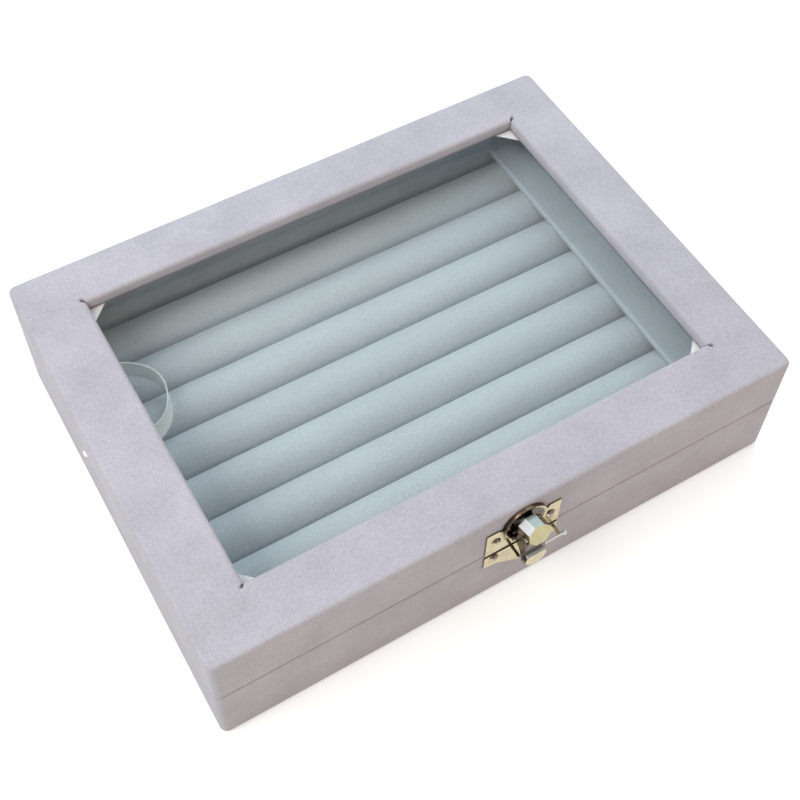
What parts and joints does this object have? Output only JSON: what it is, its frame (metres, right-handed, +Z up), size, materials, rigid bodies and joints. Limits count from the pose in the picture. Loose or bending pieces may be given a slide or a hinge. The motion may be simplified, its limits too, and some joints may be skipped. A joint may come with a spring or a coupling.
{
  "type": "ring display box",
  "caption": "Flat rectangular ring display box: velvet-covered base with rows of padded ring rolls, a hinged glazed lid, a ribbon stay and a small metal catch.",
  "frame": {"origin": "centre of the flat bottom, on the surface the box stands on", "axes": "+X to the right along the front, +Y from the front to the hinged back, +Z up"},
  "size_m": [0.2, 0.1604, 0.048],
  "materials": {
    "velvet": "short velvet nap, pale lavender grey",
    "roll_velvet": "short velvet nap, blue grey",
    "lining": "thin flocked lining, grey",
    "board": "raw fibreboard, hidden under the covering",
    "card": "white card",
    "glass": "clear flat glass",
    "gold_metal": "polished gold plating, lightly scuffed",
    "satin": "pale blue satin ribbon"
  },
  "bodies": {
    "base": {"bottom_sheet": "lining", "base_bottom_board": "board", "base_front_board": "board", "base_back_board": "board", "base_left_board": "board", "base_right_board": "board", "base_velvet_wrap": "velvet", "base_lining": "lining", "insert_board": "board", "ring_roll_1": "roll_velvet", "ring_roll_2": "roll_velvet", "ring_roll_3": "roll_velvet", "ring_roll_4": "roll_velvet", "ring_roll_5": "roll_velvet", "ring_roll_6": "roll_velvet", "ring_roll_7": "roll_velvet", "ring_roll_8": "roll_velvet", "side_strip_left": "roll_velvet", "side_strip_right": "roll_velvet", "strike_plate": "gold_metal", "strike_nails": "gold_metal", "hinge_base_leaf_left": "gold_metal", "hinge_base_leaf_right": "gold_metal", "hinge_pin_left": "gold_metal", "hinge_pin_right": "gold_metal", "hinge_base_nails": "gold_metal", "ribbon_stay": "satin"},
    "lid": {"lid_frame_board": "board", "lid_front_board": "board", "lid_back_board": "board", "lid_left_board": "board", "lid_right_board": "board", "lid_velvet_wrap": "velvet", "lid_lining": "lining", "glass_pane": "glass", "glass_card": "card", "latch_plate": "gold_metal", "latch_nails": "gold_metal", "latch_pin": "gold_metal", "hinge_lid_leaf_left": "gold_metal", "hinge_lid_leaf_right": "gold_metal", "hinge_lid_nails": "gold_metal"},
    "catch": {"latch_lever": "gold_metal"}
  },
  "joints": [
    {"name": "lid_hinge", "type": "hinge", "parent": "base", "child": "lid", "pos_m": [0, 0.0758, 0.0271], "axis": [-1, 0, 0], "range_deg": [0, 95], "deforming": ["ribbon_stay"]},
    {"name": "catch_pivot", "type": "hinge", "parent": "lid", "child": "catch", "pos_m": [0.001, -0.0756, 0.034], "axis": [-1, 0, 0], "range_deg": [0, 6]}
  ]
}
